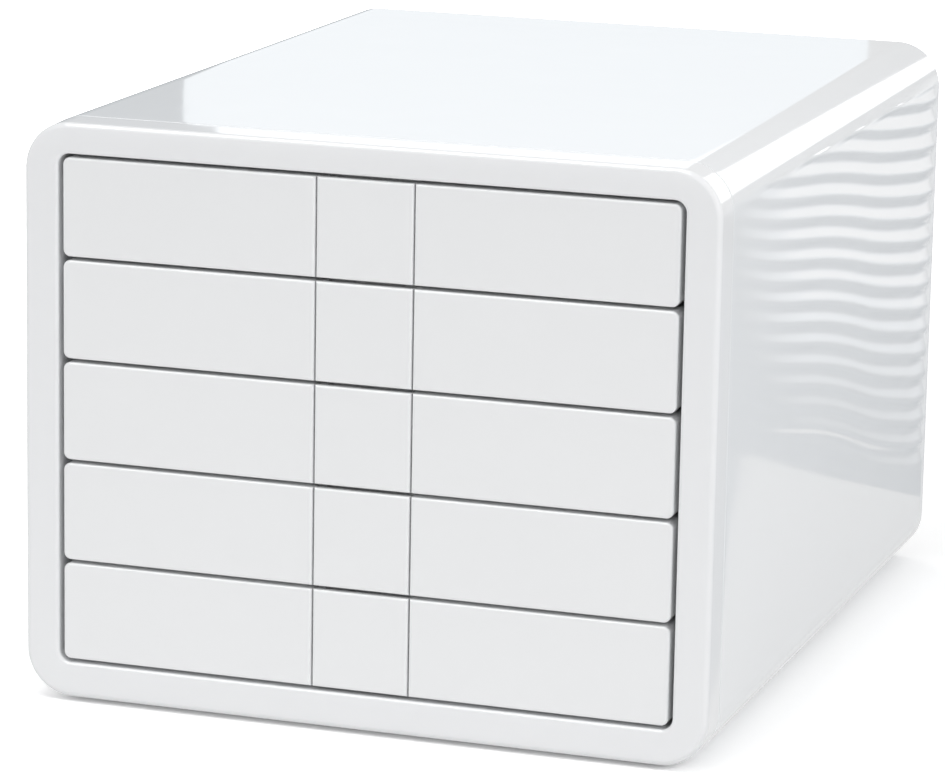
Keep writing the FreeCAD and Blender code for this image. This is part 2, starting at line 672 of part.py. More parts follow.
for drawer in range(1, DRAWERS + 1):
    drawer_place = {"depth": DRAWER_FACE, "up": f"{LOWEST_DRAWER} + {DRAWERS - drawer} * {PITCH}"}
    make_tray(f"drawer_{drawer}_tray", drawer_place)
    make_front(f"drawer_{drawer}_front", drawer_place)
    make_flap(f"drawer_{drawer}_grip_flap", drawer_place)
    make_pin(f"drawer_{drawer}_flap_pin", drawer_place)
    make_spring(f"drawer_{drawer}_flap_spring", drawer_place)
    make_screws(f"drawer_{drawer}_front_screws", "front_screw", boss_places(), "front_depth + tray_wall",
                **drawer_place)

doc.recompute()
failed = [item.Label for item in doc.Objects if "Invalid" in item.State or "Error" in item.State]
if failed:
    raise RuntimeError(f"These objects failed: {failed}")
for part in parts:
    if part.Shape.isNull() or not part.Shape.isValid():
        raise RuntimeError(f"{part.Label} has no sound shape")

os.makedirs("parts", exist_ok=True)
for part in parts:
    part.Shape.exportStep(f"parts/{part.Label}.step")
    print(part.Label, f"{part.Shape.Volume / 1000:.2f} cm3, {len(part.Shape.Solids)} solid(s)")
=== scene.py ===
# %% [markdown]
# # A polished white file box with five drawers
# The real object is a desk box of glossy white plastic: a rounded casing whose side walls carry a
# shallow relief of waves, a frame round the front, and five drawers with a rocking grip flap each.
# The CAD model already holds every piece at its real size, so it is loaded as a fixed frame. This
# lesson gives the pieces their finish, and models again the two whose surface is more than a plain
# solid: the casing with its waves, and the front frame with its slight taper. Lengths are in metres,
# as Blender counts them, and MM turns millimetres into them.

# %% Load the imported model
import math

import bmesh
import bpy
from mathutils import Euler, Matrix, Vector


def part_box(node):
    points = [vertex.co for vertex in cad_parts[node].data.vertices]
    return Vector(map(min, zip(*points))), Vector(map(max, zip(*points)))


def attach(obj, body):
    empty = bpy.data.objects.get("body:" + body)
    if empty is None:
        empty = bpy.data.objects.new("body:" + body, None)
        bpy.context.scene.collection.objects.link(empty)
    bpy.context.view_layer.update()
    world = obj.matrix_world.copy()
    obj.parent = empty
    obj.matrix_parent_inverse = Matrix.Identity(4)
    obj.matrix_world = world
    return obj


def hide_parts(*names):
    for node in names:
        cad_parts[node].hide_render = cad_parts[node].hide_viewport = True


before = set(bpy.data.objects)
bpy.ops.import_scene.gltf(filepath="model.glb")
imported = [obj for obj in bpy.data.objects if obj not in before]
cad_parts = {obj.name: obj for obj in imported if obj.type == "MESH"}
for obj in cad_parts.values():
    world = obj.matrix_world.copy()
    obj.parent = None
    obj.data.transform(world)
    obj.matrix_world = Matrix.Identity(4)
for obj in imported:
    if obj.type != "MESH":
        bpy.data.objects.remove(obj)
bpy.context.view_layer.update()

MM = 0.001
shell_low, shell_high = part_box("casing_shell")
frame_low, frame_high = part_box("front_frame")
face, back = frame_low.y, shell_high.y

# %% [markdown]
# ## The camera
# The box is seen from its front right and from a little above, through a long lens, so its edges
# run nearly parallel. A long lens is a small angle of view from far away. The place and the turn
# were found by matching the corners of the front and of the casing, and nothing is shifted. That
# match counts the focal length in picture pixels, and the width of a sensor turns it into a lens.

# %% Place the camera
CAMERA_PLACE = Vector((596.7, -1821.6, 537.8)) * MM
CAMERA_TURN = (1.3495, -0.0172, 0.328)
FOCAL_LENGTH_PIXELS = 4484
PICTURE_WIDTH_PIXELS = 945
SENSOR_WIDTH_MM = 36
SIGHT_END = 50

camera_data = bpy.data.cameras.new("camera")
camera_data.sensor_width = SENSOR_WIDTH_MM
camera_data.lens = FOCAL_LENGTH_PIXELS / PICTURE_WIDTH_PIXELS * SENSOR_WIDTH_MM
camera_data.clip_end = SIGHT_END
camera = bpy.data.objects.new("camera", camera_data)
camera.location = CAMERA_PLACE
camera.rotation_euler = Euler(CAMERA_TURN)
bpy.context.scene.collection.objects.link(camera)
bpy.context.scene.camera = camera
print("Lens in mm:", round(camera_data.lens, 1))

# %% [markdown]
# ## Colours and nodes
# A colour is written as an sRGB hex value, as a paint chart or a picture editor gives it. Blender
# computes in linear light, so one function turns it. Another small function adds a node with its
# settings and links, which keeps each material readable from top to bottom. A pattern is given its
# real size, and the last function turns that into the scale that the pattern nodes ask for.

# %% Write the helpers for every material
def linear(code):
    """The linear colour of an sRGB hex value, by the formula of the sRGB standard."""
    shares = [int(code[start:start + 2], 16) / 255 for start in (1, 3, 5)]
    light = [share / 12.92 if share <= 0.04045 else ((share + 0.055) / 1.055) ** 2.4 for share in shares]
    return (*light, 1)


def add(tree, kind, inputs=None, **settings):
    """Adds a node: its settings by name, and its inputs by name or number.

    Each input is a value, a socket, or a node that stands for its first output. A Mix node has one
    output for each kind of data, so its colour is taken by name.
    """
    node = tree.nodes.new(kind)
    for name, setting in settings.items():
        setattr(node, name, setting)
    for key, given in (inputs or {}).items():
        source = given.outputs[0] if isinstance(given, bpy.types.Node) else given
        if isinstance(source, bpy.types.NodeSocket):
            tree.links.new(source, node.inputs[key])
        else:
            node.inputs[key].default_value = source
    return node


def new_material(name):
    """An empty material, its node tree and its output node."""
    material = bpy.data.materials.new(name)
    material.use_nodes = True
    tree = material.node_tree
    tree.nodes.clear()
    return material, tree, add(tree, "ShaderNodeOutputMaterial")


def per_metre(size_mm):
    """The scale of a pattern on Object coordinates whose features are that many millimetres."""
    return 1 / (size_mm * MM)


print("White ABS #F1F2F3 in linear light:", [round(part, 3) for part in linear("#F1F2F3")])

# %% [markdown]
# ## Polished white ABS
# The casing, the frame and the drawer fronts are injection-moulded ABS from a mirror-polished
# tool. Such plastic is opaque and nearly white, with an IOR of about 1.54. The eye reads it by its
# reflections: they are sharp, but they swim a little, because the plastic sinks by some hundredths
# of a millimetre as it cools. So the material is a smooth Principled surface with three things in
# it: a tone that drifts by about a percent, a roughness that drifts with handling, and a very low
# bump some 40 mm wide that bends the reflections. Most values of a noise lie between 0.35 and 0.7,
# so that part of its range is spread over the roughness.

# %% Mix the polished plastics
ABS_IOR = 1.54
SINK_WAVE_MM = 42
TONE_PATCH_MM = 90
HANDLING_PATCH_MM = 28
NOISE_LOW = 0.35
NOISE_HIGH = 0.7


def polished_abs(name, tone, shade, gloss, haze, sink_mm):
    """White ABS between two near tones, with its least and greatest roughness and its sink depth."""
    material, tree, output = new_material(name)
    place = add(tree, "ShaderNodeTexCoord").outputs["Object"]
    drift = add(tree, "ShaderNodeTexNoise", {"Vector": place, "Scale": per_metre(TONE_PATCH_MM), "Detail": 2})
    colour = add(tree, "ShaderNodeMix", {"Factor": drift, "A": linear(tone), "B": linear(shade)},
                 data_type="RGBA").outputs["Result"]
    wiped = add(tree, "ShaderNodeTexNoise", {"Vector": place, "Scale": per_metre(HANDLING_PATCH_MM),
                                             "Detail": 4})
    rough = add(tree, "ShaderNodeMapRange", {"Value": wiped, "From Min": NOISE_LOW, "From Max": NOISE_HIGH,
                                             "To Min": gloss, "To Max": haze})
    sunk = add(tree, "ShaderNodeTexNoise", {"Vector": place, "Scale": per_metre(SINK_WAVE_MM), "Detail": 1})
    bump = add(tree, "ShaderNodeBump", {"Height": sunk, "Strength": 1, "Distance": sink_mm * MM})
    surface = add(tree, "ShaderNodeBsdfPrincipled", {"Base Color": colour, "Roughness": rough, "IOR": ABS_IOR,
                                                     "Normal": bump})
    tree.links.new(surface.outputs["BSDF"], output.inputs["Surface"])
    return material


casing_abs = polished_abs("polished ABS of the casing", tone="#F0F2F4", shade="#EEF0F2",
                          gloss=0.05, haze=0.09, sink_mm=0.03)
frame_abs = polished_abs("polished ABS of the frame", tone="#F1F2F3", shade="#EFF0F2",
                         gloss=0.06, haze=0.1, sink_mm=0.03)
front_abs = polished_abs("polished ABS of the drawer fronts", tone="#F2F3F4", shade="#F0F1F2",
                         gloss=0.06, haze=0.1, sink_mm=0.04)
print("Polished plastics:", casing_abs.name, "|", frame_abs.name, "|", front_abs.name)

# %% [markdown]
# ## Satin plastics and rubber
# The trays and the runner panels are moulded in tools with a spark-eroded skin, which leaves a
# fine even grain and a satin shine, so paper slides and scratches don't show. Real grain is about
# 0.2 mm across. Here it is drawn 0.6 mm across, because finer grain would vanish in the render.
# The feet are a soft thermoplastic rubber: dull, dark and slightly dusty, with a coarser grain.

# %% Mix the satin plastics and the rubber
GRAIN_MM = 0.6
RUBBER_GRAIN_MM = 0.8
GRAIN_STRENGTH = 0.6


def grained(name, tone, shade, ior, roughness, grain_mm, depth_mm, patch_mm):
    """A dull moulded surface: two near tones in soft patches, and an even grain."""
    material, tree, output = new_material(name)
    place = add(tree, "ShaderNodeTexCoord").outputs["Object"]
    patch = add(tree, "ShaderNodeTexNoise", {"Vector": place, "Scale": per_metre(patch_mm), "Detail": 3})
    colour = add(tree, "ShaderNodeMix", {"Factor": patch, "A": linear(tone), "B": linear(shade)},
                 data_type="RGBA").outputs["Result"]
    grain = add(tree, "ShaderNodeTexVoronoi", {"Vector": place, "Scale": per_metre(grain_mm)})
    bump = add(tree, "ShaderNodeBump", {"Height": grain, "Strength": GRAIN_STRENGTH,
                                        "Distance": depth_mm * MM})
    surface = add(tree, "ShaderNodeBsdfPrincipled", {"Base Color": colour, "Roughness": roughness, "IOR": ior,
                                                     "Normal": bump})
    tree.links.new(surface.outputs["BSDF"], output.inputs["Surface"])
    return material


tray_satin = grained("spark-eroded polystyrene of the trays", tone="#ECEDEE", shade="#E8E9EB", ior=1.59,
                     roughness=0.42, grain_mm=GRAIN_MM, depth_mm=0.03, patch_mm=60)
runner_satin = grained("moulded polypropylene of the runners", tone="#E2E4E6", shade="#DCDEE1", ior=1.49,
                       roughness=0.5, grain_mm=GRAIN_MM, depth_mm=0.04, patch_mm=45)
foot_rubber = grained("moulded rubber of the feet", tone="#4A4B4D", shade="#57585A", ior=1.52,
                      roughness=0.85, grain_mm=RUBBER_GRAIN_MM, depth_mm=0.06, patch_mm=6)
print("Satin plastics and rubber:", tray_satin.name, "|", runner_satin.name, "|", foot_rubber.name)

# %% [markdown]
# ## Steel
# Three kinds of steel parts hide in the box. The flap pins are ground rod, whose fine scratches run
# round them. The springs are tempered strip, darker, with scratches along their length. The screws
# are zinc-plated, which is paler and a little mottled. A metal takes its colour from its
# reflection, so the colour goes in the base, metallic is 1, and stretched noise gives the scratches.

# %% Mix the metals
SCRATCH_STRENGTH = 0.4
SMOOTHEST_SHARE = 0.7
ROUGHEST_SHARE = 1.3


def scratched_steel(name, tone, shade, roughness, stretch, scratch_mm, depth_mm):
    """Steel with scratches along the axis whose stretch is the smallest."""
    material, tree, output = new_material(name)
    place = add(tree, "ShaderNodeTexCoord").outputs["Object"]
    along = add(tree, "ShaderNodeMapping", {"Vector": place, "Scale": stretch})
    lines = add(tree, "ShaderNodeTexNoise", {"Vector": along, "Scale": per_metre(scratch_mm), "Detail": 3})
    colour = add(tree, "ShaderNodeMix", {"Factor": lines, "A": linear(tone), "B": linear(shade)},
                 data_type="RGBA").outputs["Result"]
    rough = add(tree, "ShaderNodeMapRange", {"Value": lines, "To Min": roughness * SMOOTHEST_SHARE,
                                             "To Max": roughness * ROUGHEST_SHARE})
    bump = add(tree, "ShaderNodeBump", {"Height": lines, "Strength": SCRATCH_STRENGTH,
                                        "Distance": depth_mm * MM})
    surface = add(tree, "ShaderNodeBsdfPrincipled", {"Base Color": colour, "Metallic": 1, "Roughness": rough,
                                                     "Normal": bump})
    tree.links.new(surface.outputs["BSDF"], output.inputs["Surface"])
    return material


pin_steel = scratched_steel("ground steel of the flap pins", tone="#C9CACC", shade="#B6B8BA",
                            roughness=0.25, stretch=(4, 1, 1), scratch_mm=0.6, depth_mm=0.01)
spring_steel = scratched_steel("tempered strip steel", tone="#8F9194", shade="#7C7E82",
                               roughness=0.32, stretch=(1, 0.1, 0.1), scratch_mm=0.5, depth_mm=0.01)
screw_steel = scratched_steel("zinc-plated steel of the screws", tone="#CDD0D2", shade="#BCC0C4",
                              roughness=0.3, stretch=(1, 1, 1), scratch_mm=0.7, depth_mm=0.01)
print("Metals:", pin_steel.name, "|", spring_steel.name, "|", screw_steel.name)

# %% [markdown]
# ## Lofted rings
# The casing and the front frame are both a closed section carried round a rounded rectangle. A
# loft makes them: rings of points, one behind the other, with the same number of points each, and
# a face between every two neighbours. A ring is given by the centres of its four corner arcs and
# by its reach beyond them. When only the reach changes, the ring steps in or out square to the
# surface, and that turns an edge into a true round.

# %% Write the ring and the loft
def ring(half, low, high, reach, y, corner_steps, side_steps, level_steps):
    """Points of a rounded rectangle in the plane at y, anticlockwise from the foot of its right side."""
    corners = [(half, high), (-half, high), (-half, low), (half, low)]
    starts = [(half, low), (half, high), (-half, high), (-half, low)]
    points = []
    for index, (start, corner) in enumerate(zip(starts, corners)):
        outward = Vector((math.cos(index * math.pi / 2), 0, math.sin(index * math.pi / 2)))
        steps = (side_steps, level_steps)[index % 2]
        first = Vector((start[0], y, start[1])) + outward * reach
        last = Vector((corner[0], y, corner[1])) + outward * reach
        points += [first.lerp(last, step / steps) for step in range(steps)]
        for step in range(corner_steps):
            turn = (index + step / corner_steps) * math.pi / 2
            points.append(Vector((corner[0] + reach * math.cos(turn), y, corner[1] + reach * math.sin(turn))))
    return points


def loft(name, rings):
    """A closed tube of quads through the rings, the last joined to the first."""
    count = len(rings[0])
    faces = []
    for row in range(len(rings)):
        following = (row + 1) % len(rings)
        for step in range(count):
            beside = (step + 1) % count
            faces.append((row * count + step, row * count + beside,
                          following * count + beside, following * count + step))
    mesh = bpy.data.meshes.new(name)
    mesh.from_pydata([point for points in rings for point in points], [], faces)
    shape = bmesh.new()
    shape.from_mesh(mesh)
    bmesh.ops.recalc_face_normals(shape, faces=shape.faces)
    shape.to_mesh(mesh)
    shape.free()
    piece = bpy.data.objects.new(name, mesh)
    bpy.context.scene.collection.objects.link(piece)
    return piece


sample_ring = ring(half=0.1, low=0, high=0.2, reach=0.02, y=0, corner_steps=20, side_steps=12, level_steps=12)
print("Points of a ring with 20 steps a corner and 12 a side:", len(sample_ring))

# %% [markdown]
# ## Rounds and shading
# A round takes a few rings, whose places follow the sine and cosine of angles spread evenly over a
# quarter turn. Smooth shading would smear such narrow rounds over the wide flats beside them.
# Weighted normals let the large faces win, so the flats stay flat and mirror evenly.

# %% Write the arc and the finish
SHARP_FROM = math.radians(35)


def arc(first, last, steps):
    """Angles in radians from one to another, both given in degrees and both included."""
    return [math.radians(first + (last - first) * step / steps) for step in range(steps + 1)]


def finish_piece(piece, material):
    """Smooth shading with sharp corners, weighted so that flats stay flat, and the material."""
    mesh = piece.data
    mesh.shade_smooth()
    mesh.set_sharp_from_angle(angle=SHARP_FROM)
    weighted = piece.modifiers.new("flat faces stay flat", "WEIGHTED_NORMAL")
    weighted.keep_sharp = True
    mesh.materials.clear()
    mesh.materials.append(material)
    print(piece.name, "has", len(mesh.vertices), "points and", len(mesh.polygons), "faces")


print("A quarter turn in three steps:", [round(angle, 2) for angle in arc(0, 90, 3)])

# %% [markdown]
# ## The front frame
# The frame is a moulding of its own, plugged into the casing behind a fine seam. Moulded parts
# taper by a degree or two, so that they leave the tool, and on the real box this taper catches the
# light above the front as a band of its own. The frame is lofted from rings: round the outside
# from the seam to the face, across the face, through the opening, and back along the hollow inside
# to the spigot that plugs into the casing.

# %% Set the sizes of the frame
CORNER_RADIUS = 20 * MM
FRAME_TAPER = math.radians(2)
FRAME_EDGE_RADIUS = 2.3 * MM
SEAM_RADIUS = 0.5 * MM
SEAM_GAP = 0.4 * MM
FRAME_SIDE = 15 * MM
FRAME_TOP = 13.2 * MM
FRAME_BOTTOM = 15.3 * MM
OPENING_RADIUS = 5 * MM
OPENING_EDGE_RADIUS = 1.5 * MM
OPENING_WALL = 2.2 * MM
FRAME_WALL = 5.2 * MM
FRAME_SKIN = 3 * MM
SPIGOT_NEAR = 2.95 * MM
SPIGOT_FAR = 5.15 * MM
FRAME_STEPS = {"corner_steps": 20, "side_steps": 12, "level_steps": 12}
SEAM_STEPS = 3
TAPER_STEPS = 4
FRAME_EDGE_STEPS = 8
OPENING_EDGE_STEPS = 6

seam = shell_low.y - SEAM_GAP
outer_centres = (shell_high.x - CORNER_RADIUS, shell_low.z + CORNER_RADIUS, shell_high.z - CORNER_RADIUS)
opening_centres = (shell_high.x - FRAME_SIDE - OPENING_RADIUS, shell_low.z + FRAME_BOTTOM + OPENING_RADIUS,
                   shell_high.z - FRAME_TOP - OPENING_RADIUS)
print("The seam lies this many mm behind the face:", round((seam - face) / MM, 1))

# %% Loft the front frame
def outer_ring(inset, y):
    """A ring that lies inside the casing's outline by the inset."""
    return ring(*outer_centres, CORNER_RADIUS - inset, y, **FRAME_STEPS)


def opening_ring(outset, y):
    """A ring that lies outside the opening's outline by the outset."""
    return ring(*opening_centres, OPENING_RADIUS + outset, y, **FRAME_STEPS)


def make_front_frame():
    """The frame: the seam's round, the taper, the edge's round, the opening, the hollow and the spigot."""
    rings = [outer_ring(SEAM_RADIUS * (1 - math.sin(turn)), seam - SEAM_RADIUS * (1 - math.cos(turn)))
             for turn in arc(0, 90, SEAM_STEPS)]
    run = seam - SEAM_RADIUS - face - FRAME_EDGE_RADIUS
    for step in range(1, TAPER_STEPS):
        share = step / TAPER_STEPS
        rings.append(outer_ring(run * share * math.tan(FRAME_TAPER), seam - SEAM_RADIUS - run * share))
    drop = run * math.tan(FRAME_TAPER)
    for turn in arc(math.degrees(FRAME_TAPER), 90, FRAME_EDGE_STEPS):
        rings.append(outer_ring(drop + FRAME_EDGE_RADIUS * (1 - math.cos(turn)),
                                face + FRAME_EDGE_RADIUS * (1 - math.sin(turn))))
    for turn in arc(0, 90, OPENING_EDGE_STEPS):
        rings.append(opening_ring(OPENING_EDGE_RADIUS * (1 - math.sin(turn)),
                                  face + OPENING_EDGE_RADIUS * (1 - math.cos(turn))))
    rings += [opening_ring(0, seam), opening_ring(OPENING_WALL, seam),
              opening_ring(OPENING_WALL, face + FRAME_SKIN), outer_ring(FRAME_WALL, face + FRAME_SKIN),
              outer_ring(FRAME_WALL, seam), outer_ring(SPIGOT_FAR, frame_high.y),
              outer_ring(SPIGOT_NEAR, frame_high.y), outer_ring(SPIGOT_NEAR, seam)]
    return loft("front_surround", rings)


front_surround = make_front_frame()
finish_piece(front_surround, frame_abs)

# %% [markdown]
# ## The casing
# The casing is one moulding: top, sides and underside in one tube, 2.8 mm thick. It is lofted too,
# but its ring has far more points up the side walls, because they carry the relief. The relief
# stops at a straight crease on the upper corners, which falls by nearly 2 mm towards the back, so
# one row of points lies on that crease and the next one just above it. The right half of the ring
# is drawn once, and mirrored. The front rim has the other half of the seam, and the rear rim is
# rounded. Just before the rear rim the rings lie closer together, because the waves fade there.

# %% Draw half the section of the casing
SIDE_ROW = 0.62 * MM
CREASE_AT_FRONT = 227.7 * MM
CREASE_AT_BACK = 225.9 * MM
CREASE_STEP = 0.08 * MM
CREASE_ROWS = 12
LOWER_CORNER_STEPS = 20
UPPER_CORNER_STEPS = 28
LEVEL_STEPS = 8


def half_outline(crease_height):
    """The right half of the casing's section: each point's arc centre and its outward turn."""
    across, low, high = outer_centres
    crease = math.asin((crease_height - high) / CORNER_RADIUS)
    above = math.asin((crease_height + CREASE_STEP - high) / CORNER_RADIUS)
    down = -math.pi / 2
    rows = round((high - low) / SIDE_ROW)
    points = [((across * step / LEVEL_STEPS, low), down) for step in range(1, LEVEL_STEPS)]
    points += [((across, low), down * (1 - step / LOWER_CORNER_STEPS)) for step in range(LOWER_CORNER_STEPS)]
    points += [((across, low + (high - low) * step / rows), 0) for step in range(rows)]
    points += [((across, high), crease * step / CREASE_ROWS) for step in range(CREASE_ROWS + 1)]
    points += [((across, high), above + (math.pi / 2 - above) * step / UPPER_CORNER_STEPS)
               for step in range(UPPER_CORNER_STEPS + 1)]
    points += [((across * (1 - step / LEVEL_STEPS), high), math.pi / 2) for step in range(1, LEVEL_STEPS)]
    return points


print("Points in half a section:", len(half_outline(CREASE_AT_FRONT)))

# %% Loft the casing
SHELL_WALL = 2.8 * MM
REAR_RADIUS = 0.8 * MM
REAR_STEPS = 5
FADE_LENGTH = 4.8 * MM
FADE_ROWS = 5
STATION_GAP = 5 * MM


def shell_ring(inset, y):
    """A ring of the casing that lies inside its outline by the inset, with the crease at its height there."""
    reach = CORNER_RADIUS - inset
    crease_height = CREASE_AT_FRONT + (CREASE_AT_BACK - CREASE_AT_FRONT) * (y - seam) / (back - seam)
    right = [Vector((x + reach * math.cos(turn), y, z + reach * math.sin(turn)))
             for (x, z), turn in half_outline(crease_height)]
    return right + [Vector((-point.x, y, point.z)) for point in reversed(right)]


def make_casing():
    """The casing: the seam's round, the long run, the rear rim's round, and the inside."""
    front = shell_low.y
    rings = [shell_ring(SEAM_RADIUS * (1 - math.sin(turn)), front + SEAM_RADIUS * (1 - math.cos(turn)))
             for turn in arc(0, 90, SEAM_STEPS)]
    stations = round((back - front) / STATION_GAP)
    first, last = front + SEAM_RADIUS, back - FADE_LENGTH
    rings += [shell_ring(0, first + (last - first) * step / stations) for step in range(1, stations + 1)]
    rings += [shell_ring(0, last + (back - REAR_RADIUS - last) * step / FADE_ROWS)
              for step in range(1, FADE_ROWS)]
    rings += [shell_ring(REAR_RADIUS * (1 - math.cos(turn)), back - REAR_RADIUS * (1 - math.sin(turn)))
              for turn in arc(0, 90, REAR_STEPS)]
    rings += [shell_ring(SHELL_WALL, back), shell_ring(SHELL_WALL, front)]
    return loft("casing", rings)


casing = make_casing()
print("Casing before the gussets:", len(casing.data.polygons), "faces")

# %% [markdown]
# ## The gussets
# The screws of the rear panel bite into four three-cornered blocks, one in each rear corner of the
# casing. A block is a prism, two triangles and three sides between them, and its long side sinks
# half a millimetre into the wall, so that the two look like one moulding. It joins the casing's
# own mesh.

# %% Add the gussets
GUSSET_SIZE = 10.6 * MM
GUSSET_BITE = 0.5 * MM
GUSSET_LENGTH = 20 * MM
PANEL_THICKNESS = 2.5 * MM


def add_gussets(piece):
    """A three-cornered block in each rear corner, from the rear panel forwards, sunk in the corner."""
    bend = CORNER_RADIUS - SHELL_WALL
    near = bend - GUSSET_SIZE
    far = bend * math.sqrt(2) - near + GUSSET_BITE
    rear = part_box("rear_panel")[1].y - PANEL_THICKNESS
    across, low, high = outer_centres
    shape = bmesh.new()
    shape.from_mesh(piece.data)
    for side, level in ((1, 1), (-1, 1), (-1, -1), (1, -1)):
        centre = Vector((side * across, 0, high if level > 0 else low))
        spots = [centre + Vector((side * x, 0, level * z))
                 for x, z in ((near, near), (far, near), (near, far))]
        blocks = [[shape.verts.new(spot + Vector((0, y, 0))) for spot in spots]
                  for y in (rear - GUSSET_LENGTH, rear)]
        faces = [shape.faces.new(block) for block in blocks]
        for index in range(3):
            beside = (index + 1) % 3
            faces.append(shape.faces.new((blocks[0][index], blocks[0][beside],
                                          blocks[1][beside], blocks[1][index])))
        bmesh.ops.recalc_face_normals(shape, faces=faces)
    shape.to_mesh(piece.data)
    shape.free()


add_gussets(casing)
print("Casing before the waves:", len(casing.data.polygons), "faces")

# %% [markdown]
# ## The waves
# Seventeen low ridges run along each side wall, like ripples in sand, and towards the front the
# upper ones run out under the crease. They follow a rule: at the front they lie 7.8 mm apart, at
# the back 10.7 mm, and on the way they sway up and down. They grow out of the flat wall until 155 mm
# behind the face, the lower ones less, and the last one ends in the flat wall below. A ridge is at
# most about a ninth as high as it is wide. That is enough, because a polished wall that is seen at
# a low angle mirrors something else as soon as it leans by a few degrees. A relief that follows a
# rule suits Geometry Nodes: the tree works out for each point how far the wall is sunk there. Its
# lengths are inputs with names. The shares, and what is counted in rows, are values of their own.

# %% Give the waves their sizes
WAVES = {
    "Seam": seam,
    "Back": back,
    "Wall": shell_high.x,
    "Crease At Front": CREASE_AT_FRONT + CREASE_STEP / 2,
    "Crease At Back": CREASE_AT_BACK + CREASE_STEP / 2,
    "Groove Height": 1.4 * MM,
    "Groove Depth": 0.48 * MM,
    "Calm Height": 3.2 * MM,
    "Top Ridge At Front": 261.8 * MM,
    "Top Ridge At Back": 220.8 * MM,
    "Ridge Gap At Front": 7.82 * MM,
    "Ridge Gap At Back": 10.74 * MM,
    "Sink At Front": 0.16 * MM,
    "Sink At Back": 0.5 * MM,
    "Waves Start": face - 10 * MM,
    "Waves Grown": face + 155 * MM,
    "Waves Fade": back - 4.5 * MM,
    "Waves End": back - 1 * MM,
    "Skin": 1.4 * MM,
    "Core": 2.6 * MM,
}
SWAY_SHARES = ((0.08, 0.087), (0.18, 0.203), (0.3, 0.318), (0.42, 0.428), (0.55, 0.571),
               (0.7, 0.757), (0.85, 0.909), (0.95, 0.991))
RIDGE_HEIGHT_SHARE = 0.115
UNDERTONE_SHARE = 0.15
WAVE_REACH = 1 + UNDERTONE_SHARE / 4
CREST_TURN = 0.41
LOWER_RIDGE = 8
LAST_RIDGE = 16.2
FIELD_END = 19.5
LOWEST_SHARE_AT_FRONT = 0.22
LOWEST_SHARE_AT_BACK = 0.78
CALM_SHARE = 0.15
GROOVE_STARTS_SHARE = 0.12
GROOVE_GROWN_SHARE = 0.35
print("Ridges on each side wall:", math.floor(LAST_RIDGE) + 1)

# %% [markdown]
# ### The inputs of the tree
# Each length of the rule becomes a socket of the tree, so the same tree could give another box its
# waves. Inside the tree, a point's position is split into x, across the box, y, towards its back,
# and z, upwards.

# %% Open the tree
waves = bpy.data.node_groups.new("side wall waves", "GeometryNodeTree")
waves.interface.new_socket("Geometry", in_out="INPUT", socket_type="NodeSocketGeometry")
waves.interface.new_socket("Geometry", in_out="OUTPUT", socket_type="NodeSocketGeometry")
for name in WAVES:
    waves.interface.new_socket(name, in_out="INPUT", socket_type="NodeSocketFloat")
given = add(waves, "NodeGroupInput").outputs
x, y, z = add(waves, "ShaderNodeSeparateXYZ", {"Vector": add(waves, "GeometryNodeInputPosition")}).outputs
print("The waves have", len(WAVES), "inputs")

# %% [markdown]
# ### The row of a point
# The share of the way from the seam to the back goes through a curve, which makes the ridges sway:
# where the curve is steep they fall fast, and where it is flat they run level. The swayed share
# gives the height of the top ridge and the gap between two ridges, and those give the point's row,
# which is counted downwards from the top ridge.

# %% Count the rows
along = add(waves, "ShaderNodeMapRange", {"Value": y, "From Min": given["Seam"], "From Max": given["Back"]})
sway = add(waves, "ShaderNodeFloatCurve", {"Value": along})
for spot in SWAY_SHARES:
    sway.mapping.curves[0].points.new(*spot)
sway.mapping.update()
top = add(waves, "ShaderNodeMapRange", {"Value": sway, "To Min": given["Top Ridge At Front"],
                                        "To Max": given["Top Ridge At Back"]})
gap = add(waves, "ShaderNodeMapRange", {"Value": sway, "To Min": given["Ridge Gap At Front"],
                                        "To Max": given["Ridge Gap At Back"]})
below_top = add(waves, "ShaderNodeMath", {0: top, 1: z}, operation="SUBTRACT")
row = add(waves, "ShaderNodeMath", {0: below_top, 1: gap}, operation="DIVIDE")
print("Points on the sway curve, with its two ends:", len(sway.mapping.curves[0].points))

# %% [markdown]
# ### The height of the waves
# Each row is one turn of a sine. An undertone of twice the pace broadens the upper flank of each
# ridge and steepens its lower one, and the sum reaches about four hundredths further than the sine
# alone. It is carried over to a share of the gap, from nothing on the crest to about a ninth in
# the hollow. Two shares then shrink it: one grows from the front, and one falls from row 8 down.

# %% Raise the ridges
wave_row = add(waves, "ShaderNodeMath", {0: row, 1: LAST_RIDGE}, operation="MINIMUM")
turn = add(waves, "ShaderNodeMath", {0: wave_row, 1: math.tau, 2: -CREST_TURN * math.tau},
           operation="MULTIPLY_ADD")
double_turn = add(waves, "ShaderNodeMath", {0: turn, 1: 2}, operation="MULTIPLY")
undertone = add(waves, "ShaderNodeMath", {0: double_turn}, operation="SINE")
plain_wave = add(waves, "ShaderNodeMath", {0: turn}, operation="SINE")
wave = add(waves, "ShaderNodeMath", {0: undertone, 1: UNDERTONE_SHARE, 2: plain_wave},
           operation="MULTIPLY_ADD")
hollow = add(waves, "ShaderNodeMapRange", {"Value": wave, "From Min": -WAVE_REACH, "From Max": WAVE_REACH,
                                           "To Max": RIDGE_HEIGHT_SHARE})
grown = add(waves, "ShaderNodeMapRange", {"Value": y, "From Min": given["Waves Start"],
                                          "From Max": given["Waves Grown"]}, interpolation_type="SMOOTHSTEP")
lowest = add(waves, "ShaderNodeMapRange", {"Value": along, "To Min": LOWEST_SHARE_AT_FRONT,
                                           "To Max": LOWEST_SHARE_AT_BACK})
lower = add(waves, "ShaderNodeMapRange", {"Value": row, "From Min": LOWER_RIDGE, "From Max": LAST_RIDGE,
                                          "To Min": 1, "To Max": lowest}, interpolation_type="SMOOTHSTEP")
